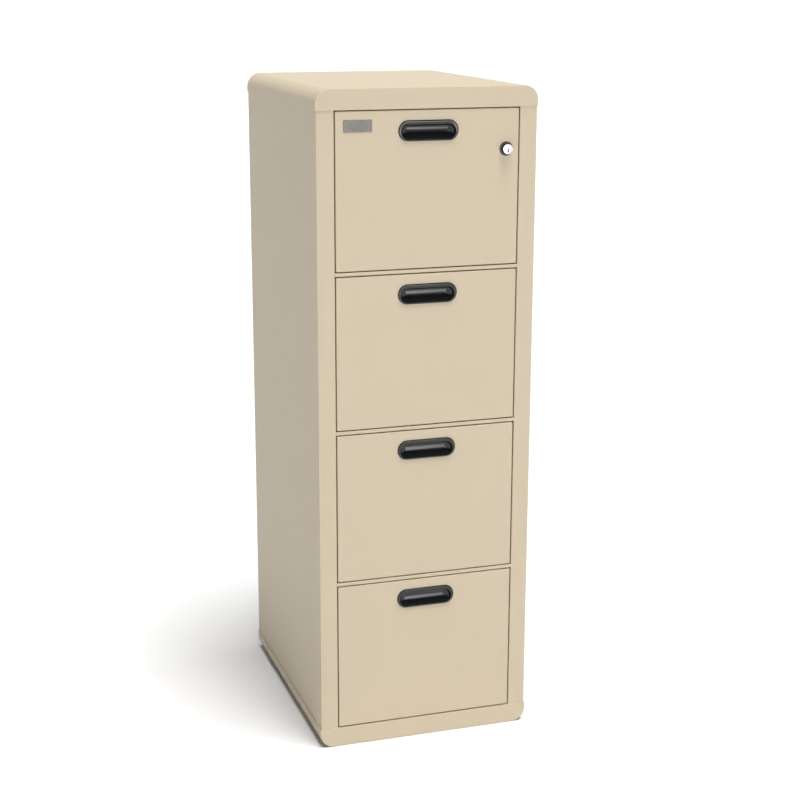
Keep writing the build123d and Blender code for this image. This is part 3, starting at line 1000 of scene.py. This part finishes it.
@dataclass
class Pull:
    """The moulded recessed pull: a proud rim round a scoop for the fingers."""

    n: int
    edge: float = 2.2
    land: float = 6.0
    land_edge: float = 1.2
    drop: float = 2.5
    crown: float = 0.8
    lip: float = 4.0
    undercut: float = 1.8
    depth: float = 14.0
    deepest_z: float = 8.0
    scoop: float = 25.0
    cup: Point2 = (116.0, 35.0)
    rim_steps: int = 6
    edge_steps: int = 4
    steps: int = 14

    def build(self) -> None:
        """Makes the pull as one closed moulding."""
        node = f"handle_cup_{self.n}"
        low, high = box_mm(node)
        z = (low.z + high.z) / 2
        face_y = box_mm(f"drawer_front_{self.n}")[0].y
        flange = Stadium(0.0, z, high.x - low.x, high.z - low.z)
        sides = (flange.length - 2 * self.land, flange.height - 2 * self.land)
        mouth = Stadium(0.0, z - self.drop, *sides)
        cup = Stadium(0.0, z, *self.cup)
        loops = [at_depth(cup.outline(), high.y), at_depth(cup.outline(), face_y)]
        loops += pan(flange.outline, face_y, low.y, self.edge)
        loops += self.rim(loops[-1], mouth, low.y)
        loops += self.pocket(mouth, low.y)
        blank = Blank()
        rows = blank.skin(loops)
        blank.mesh.faces.new(rows[0])
        blank.face((0, high.y, z))
        blank.piece(node, "moulding", sharp=50.0)

    def rim(self, crest: Loop, mouth: Stadium, rim_y: float) -> list[Loop]:
        """Draws the rim's face, which falls back towards the mouth where it is wide.

        Args:
            crest: The loop that the face starts from.
            mouth: The pocket's outline.
            rim_y: Where the front of the rim lies.

        Returns:
            The loops, of which the last lies in the mouth.
        """
        falls = [rim_y + self.crown * max(0.0, way.y) ** 2 for _, way in mouth.spots()]
        loops = []
        for step in range(1, self.rim_steps):
            share = step / self.rim_steps
            loop = []
            for start, end, fall in zip(crest, mouth.outline(-self.land_edge), falls):
                x = start[0] + (end[0] - start[0]) * share
                height = start[2] + (end[1] - start[2]) * share
                loop.append((x, rim_y + (fall - rim_y) * share**2, height))
            loops.append(loop)
        for step in range(self.edge_steps + 1):
            angle = math.pi / 2 * step / self.edge_steps
            back = self.land_edge * (1 - math.cos(angle))
            brink = mouth.outline(-self.land_edge * (1 - math.sin(angle)))
            loops.append([(x, fall + back, height) for (x, height), fall in zip(brink, falls)])
        return loops

    def pocket(self, mouth: Stadium, rim_y: float) -> list[Loop]:
        """Draws the scoop from its mouth to the line along its middle.

        Args:
            mouth: The pocket's outline.
            rim_y: Where the front of the rim lies.

        Returns:
            The loops, of which the last lies on the middle line.
        """
        half = mouth.height / 2
        curves = self.curves(half)
        loops = []
        for step in range(1, len(curves[0])):
            loop = []
            for spine, way in mouth.spots():
                shares = (max(0.0, way.y) ** 2, max(0.0, -way.y) ** 2, way.x**2)
                inset = sum(w * curve[step][0] for w, curve in zip(shares, curves))
                depth = sum(w * curve[step][1] for w, curve in zip(shares, curves))
                spot = spine + way * (half - inset)
                loop.append((spot.x, rim_y + depth, spot.y))
            loops.append(loop)
        return loops

    def curves(self, half: float) -> tuple[list[Point2], list[Point2], list[Point2]]:
        """The pocket's sections at its top, its bottom and its ends.

        Args:
            half: Half of the mouth's height.

        Returns:
            For each, the inset and the depth of the same number of points.
        """

        def scoop_at(z: float) -> float:
            """The scoop's depth at a height above the mouth's middle."""
            rise = min(1.0, abs(self.deepest_z - z) / self.scoop)
            return self.depth - self.scoop + self.scoop * math.sqrt(1 - rise * rise)

        start = self.land_edge
        bottom, end = [], []
        top = [
            (0.0, start),
            (0.0, self.lip),
            (-self.undercut * 0.7, self.lip + 0.5),
            (-self.undercut, self.lip + 1.6),
            (-self.undercut, self.lip + 3.6),
            (-self.undercut * 0.4, self.lip + 5.4),
            (2.4, self.depth - 1.6),
            (4.6, self.depth - 0.4),
        ]
        rest = self.steps - len(top)
        for step in range(rest + 1):
            z = self.deepest_z * (1 - step / rest)
            top.append((half - z, scoop_at(z)))
        count = len(top)
        for step in range(count):
            share = step / (count - 1)
            inset = half * share
            bottom.append((inset, max(start, scoop_at(inset - half))))
            turn = math.pi / 2 * share
            middle = scoop_at(0.0)
            end.append((half * (1 - math.cos(turn)), start + (middle - start) * math.sin(turn)))
        return top, bottom, end


# ---------------------------------------------------------------- lock
@dataclass
class Lock:
    """The push lock in the top drawer: collar, plunger, key plug and spring."""

    bore: float = 10.1
    sleeve: float = 12.0
    sleeve_floor: float = 1.5
    edge: float = 1.0
    edge_cut: float = 0.3
    bore_edge: float = 0.4
    nose: float = 0.8
    nose_cut: float = 0.25
    fit: float = 0.1
    plug_bore: float = 5.58
    plug_edge: float = 0.3
    plug_floor: float = 4.0
    keyway: Point2 = (6.4, 2.2)
    keyway_depth: float = 20.0
    tail_x: Point2 = (3.5, 8.5)
    tail_z: Point2 = (-4.0, 2.0)
    spring_radius: float = 3.0
    wire: float = 0.35
    wire_sides: int = 10
    coils: int = 5
    coil_steps: int = 24

    def build(self) -> None:
        """Makes the lock's four pieces."""
        self.build_collar()
        self.build_plunger()
        self.build_plug()
        self.build_spring()

    def build_collar(self) -> None:
        """Turns the collar, its sleeve and the bore through them."""
        low, high = box_mm("lock_collar")
        middle = middle_mm("lock_collar")
        radius = (high.x - low.x) / 2
        face_y = box_mm("drawer_front_1")[0].y
        floor = high.y - self.sleeve_floor
        profile = [
            (0.0, high.y),
            (self.sleeve, high.y),
            (self.sleeve, face_y),
            (radius, face_y),
            (radius, low.y + self.edge),
            (radius - self.edge_cut, low.y + self.edge_cut),
            (radius - self.edge, low.y),
            (self.bore + self.bore_edge, low.y),
            (self.bore, low.y + self.bore_edge),
            (self.bore, floor),
            (0.0, floor),
        ]
        blank = Blank()
        blank.skin([at_depth(circle((middle.x, middle.z), r), y) for r, y in profile])
        blank.face(tuple(middle))
        blank.piece("lock_collar", "turned")

    def build_plunger(self) -> None:
        """Turns the plunger's barrel, bores it for the plug and adds its tail."""
        low, high = box_mm("lock_plunger")
        middle = middle_mm("lock_collar")
        centre = (middle.x, middle.z)
        plug = middle_mm("key_plug")
        plug_back = box_mm("key_plug")[1].y
        radius = self.bore - self.fit
        back = plug_back + self.plug_floor
        profile = [(radius, back)]
        for inward, behind in ((0.0, self.nose), (self.nose_cut, self.nose_cut), (self.nose, 0.0)):
            profile.append((radius - inward, low.y + behind))
        blank = Blank()
        rows = blank.skin([at_depth(circle(centre, r), y) for r, y in profile])
        blank.mesh.faces.new(rows[0])
        bore = blank.skin(
            [at_depth(circle((plug.x, plug.z), self.plug_bore), y) for y in (low.y, plug_back)]
        )
        blank.mesh.faces.new(bore[-1])
        blank.plate(rows[-1], bore[0])
        base, crest = (middle.z + z for z in self.tail_z)
        slope = high.y - (crest - base)
        wedge = [(back, base), (high.y, base), (slope, crest), (back, crest)]
        left, right = (middle.x + x for x in self.tail_x)
        blank.block(wedge, Axis.X, (left, right))
        blank.face(tuple(middle))
        blank.piece("lock_plunger", "turned")

    def build_plug(self) -> None:
        """Turns the key plug and cuts its keyway."""
        low, high = box_mm("key_plug")
        middle = middle_mm("key_plug")
        radius = (high.x - low.x) / 2
        slot = Stadium(0.0, 0.0, *self.keyway)
        keyway = [(middle.x + b, middle.z + a) for a, b in slot.outline()]
        edge = self.plug_edge
        profile = [(radius, high.y), (radius, low.y + edge), (radius - edge, low.y)]
        blank = Blank()
        rows = blank.skin([at_depth(circle((middle.x, middle.z), r), y) for r, y in profile])
        blank.mesh.faces.new(rows[0])
        cut = blank.skin([at_depth(keyway, y) for y in (low.y, low.y + self.keyway_depth)])
        blank.mesh.faces.new(cut[-1])
        blank.plate(rows[-1], cut[0])
        blank.face(tuple(middle))
        blank.piece("key_plug", "turned")

    def build_spring(self) -> None:
        """Winds the return spring at one fixed length, though the real one shortens as the plunger goes
        in.
        """
        low, high = box_mm("lock_spring")
        middle = middle_mm("lock_spring")
        start, reach = low.y + self.wire, high.y - low.y - 2 * self.wire
        steps = self.coil_steps * self.coils
        loops = []
        for step in range(steps + 1):
            angle = 2 * math.pi * step / self.coil_steps
            out = Vector((math.cos(angle), 0, math.sin(angle)))
            along = start + reach * step / steps
            centre = Vector((middle.x, along, middle.z)) + out * self.spring_radius
            loop = []
            for side in range(self.wire_sides):
                around = 2 * math.pi * side / self.wire_sides
                spot = centre + self.wire * (
                    out * math.cos(around) + Vector((0, 1, 0)) * math.sin(around)
                )
                loop.append(tuple(spot))
            loops.append(loop)
        blank = Blank()
        rows = blank.skin(loops)
        blank.mesh.faces.new(rows[0])
        blank.mesh.faces.new(rows[-1])
        bmesh.ops.recalc_face_normals(blank.mesh, faces=blank.mesh.faces)
        made = blank.piece("lock_spring", "wound")
        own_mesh(made)


@dataclass
class Badge:
    """The blank plate at the upper left of the top drawer."""

    corner: float = 2.0
    edge: float = 0.25

    def build(self) -> None:
        """Makes the plate with softened front edges."""
        low, high = box_mm("badge_plate")

        def outline(inset: float) -> list[Point2]:
            """The plate's outline at an inset."""
            return rounded_rectangle((low.x, low.z), (high.x, high.z), self.corner, inset)

        blank = Blank()
        rows = blank.skin(pan(outline, high.y, low.y, self.edge))
        blank.mesh.faces.new(rows[0])
        blank.mesh.faces.new(rows[-1])
        blank.face(tuple(middle_mm("badge_plate")))
        blank.piece("badge_plate", "plate")


# ---------------------------------------------------------------- carried-over nodes
def dress_frame(edge_mm: float = 0.25) -> None:
    """Gives every CAD node its finish, and softens the edges of small steel parts.

    Args:
        edge_mm: The width of the softened edges.
    """
    shown = [o for o in frame["nodes"].values() if not o.hide_render]
    for made in shown:
        slot = PAINTSHOP.slots[made.name]
        made.data.materials.clear()
        made.data.materials.append(PAINTSHOP.material(slot))
        if slot != "zinc_steel":
            continue
        weld = made.modifiers.new("weld", "WELD")
        weld.merge_threshold = 0.01 * MM
        bevel = made.modifiers.new("edges", "BEVEL")
        bevel.width = edge_mm * MM
        bevel.segments = 2
        bevel.limit_method = "ANGLE"
        bevel.harden_normals = True


# ---------------------------------------------------------------- studio
@dataclass
class Studio:
    """A plain pale floor, soft lights and the camera."""

    light_way: Point3 = (0.08, -0.19, 0.98)
    camera_place: Point3 = (-1.024, -3.245, 1.536)
    camera_turn: float = -18.08
    camera_tilt: float = -14.49
    camera_roll: float = 0.16
    lens: float = 73.1
    sensor: float = 36.0
    floor_reach: float = 60.0
    floor_shade: float = 0.77

    def build(self) -> None:
        """Sets up the floor, the surroundings, the lights and the camera."""
        self.build_floor()
        self.build_world()
        self.add_key("key", strength=4.3, spread=32.0)
        self.add_area(
            "front_card",
            place=(0.56, -2.9, 1.15),
            target=(0.0, -0.28, 1.05),
            size=(0.8, 1.3),
            power=15.5,
        )
        self.build_camera()

    def build_floor(self) -> None:
        """Lays a wide pale floor that isn't part of the object."""
        data = bpy.data.meshes.new("studio_floor")
        reach = self.floor_reach
        corners = [(-reach, -reach, 0), (reach, -reach, 0), (reach, reach, 0), (-reach, reach, 0)]
        data.from_pydata(corners, [], [(0, 1, 2, 3)])
        floor = bpy.data.objects.new("studio_floor", data)
        bpy.context.scene.collection.objects.link(floor)
        material = bpy.data.materials.new("studio_white_paint")
        material.use_nodes = True
        shader = material.node_tree.nodes["Principled BSDF"]
        shader.inputs["Base Color"].default_value = (*[self.floor_shade] * 3, 1.0)
        shader.inputs["Roughness"].default_value = 0.9
        shader.inputs["Specular IOR Level"].default_value = 0.1
        data.materials.append(material)

    def build_world(self) -> None:
        """Makes the surroundings: faint light from above, and a pale horizon in reflections."""
        world = bpy.data.worlds.new("studio")
        world.use_nodes = True
        tree = world.node_tree
        tree.nodes.clear()
        way = add_node(tree, "ShaderNodeTexCoord").outputs["Generated"]
        height = add_node(tree, "ShaderNodeSeparateXYZ", links={"Vector": way}).outputs["Z"]
        horizon = add_node(
            tree,
            "ShaderNodeMapRange",
            {"From Min": 0.25, "From Max": 0.6, "To Min": 0.9, "To Max": 0.05},
            {"Value": height},
        ).outputs["Result"]
        side = add_node(
            tree, "ShaderNodeVectorMath", {1: self.light_way}, {0: way}, operation="DOT_PRODUCT"
        ).outputs["Value"]
        glow = add_node(
            tree,
            "ShaderNodeMapRange",
            {"From Min": 0.0, "From Max": 1.0, "To Min": 0.02, "To Max": 0.28},
            {"Value": side},
        ).outputs["Result"]
        path = add_node(tree, "ShaderNodeLightPath")
        unseen = add_node(
            tree,
            "ShaderNodeMix",
            links={0: path.outputs["Is Glossy Ray"], 2: glow, 3: horizon},
            data_type="FLOAT",
        ).outputs[0]
        strength = add_node(
            tree,
            "ShaderNodeMix",
            {3: 1.0},
            {0: path.outputs["Is Camera Ray"], 2: unseen},
            data_type="FLOAT",
        ).outputs[0]
        shade = add_node(
            tree,
            "ShaderNodeBackground",
            {"Color": (1.0, 1.0, 1.0, 1.0)},
            {"Strength": strength},
        )
        add_node(tree, "ShaderNodeOutputWorld", links={"Surface": shade.outputs["Background"]})
        bpy.context.scene.world = world
        bpy.context.scene.view_settings.view_transform = "Standard"
        bpy.context.scene.view_settings.look = "None"

    def add_key(self, name: str, strength: float, spread: float) -> None:
        """Adds the main light, which falls evenly on the whole floor.

        Args:
            name: Its name.
            strength: Its irradiance.
            spread: How wide it looks, in degrees, which softens its shadows.
        """
        data = bpy.data.lights.new(name, "SUN")
        data.energy = strength
        data.angle = math.radians(spread)
        lamp = bpy.data.objects.new(name, data)
        lamp.rotation_mode = "QUATERNION"
        lamp.rotation_quaternion = (-Vector(self.light_way)).to_track_quat("-Z", "Y")
        lamp.visible_glossy = False
        bpy.context.scene.collection.objects.link(lamp)

    @staticmethod
    def add_area(name: str, place: Point3, target: Point3, size: Point2, power: float) -> None:
        """Adds one soft rectangular light.

        Args:
            name: Its name.
            place: Where it hangs.
            target: What it points at.
            size: Its width and height in metres.
            power: Its power in watts.
        """
        data = bpy.data.lights.new(name, "AREA")
        data.shape = "RECTANGLE"
        data.size, data.size_y = size
        data.energy = power
        lamp = bpy.data.objects.new(name, data)
        lamp.location = place
        lamp.rotation_mode = "QUATERNION"
        lamp.rotation_quaternion = (Vector(target) - Vector(place)).to_track_quat("-Z", "Y")
        lamp.visible_camera = False
        bpy.context.scene.collection.objects.link(lamp)

    def build_camera(self) -> None:
        """Places the camera and makes it the scene's own."""
        data = bpy.data.cameras.new("view")
        data.sensor_width = self.sensor
        data.lens = self.lens
        camera = bpy.data.objects.new("view", data)
        turn = Matrix.Rotation(math.radians(self.camera_turn), 4, "Z")
        tilt = Matrix.Rotation(math.radians(90 + self.camera_tilt), 4, "X")
        roll = Matrix.Rotation(math.radians(self.camera_roll), 4, "Z")
        camera.matrix_world = Matrix.Translation(self.camera_place) @ turn @ tilt @ roll
        bpy.context.scene.collection.objects.link(camera)
        bpy.context.scene.camera = camera


def slides() -> list[Slide]:
    """Lists the slide members of the whole cabinet.

    Returns:
        The members on the cabinet, between, and on the drawers.
    """
    middles = {n: middle_mm(f"middle_rails_{n}").z for n in DRAWERS}
    found = [Slide("cabinet_rails", list(middles.values()), half=22.5, reach=9.0)]
    for n, middle in middles.items():
        found.append(Slide(f"middle_rails_{n}", [middle], half=17.7, reach=8.8))
        inner = Slide(f"drawer_rails_{n}", [middle], half=12.7, reach=9.0, web_outside=False)
        found.append(inner)
    return found


def main() -> None:
    """Builds the cabinet's looks and the studio round it."""
    logging.basicConfig(level=logging.INFO, format="%(name)s: %(message)s")
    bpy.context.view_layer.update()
    for part in frame["record"]["subparts"]:
        PAINTSHOP.slots[part["node"]] = part["material_slot"]
    Cap("top_cap").build()
    Cap("base_cap", upside_down=True).build()
    Body().build()
    Inside().build()
    for slide in slides():
        slide.build()
    for n in DRAWERS:
        DrawerHead(n).build()
        Tray(n).build()
        Pull(n).build()
    Lock().build()
    Badge().build()
    dress_frame()
    Studio().build()


if __name__ == "__main__":
    main()
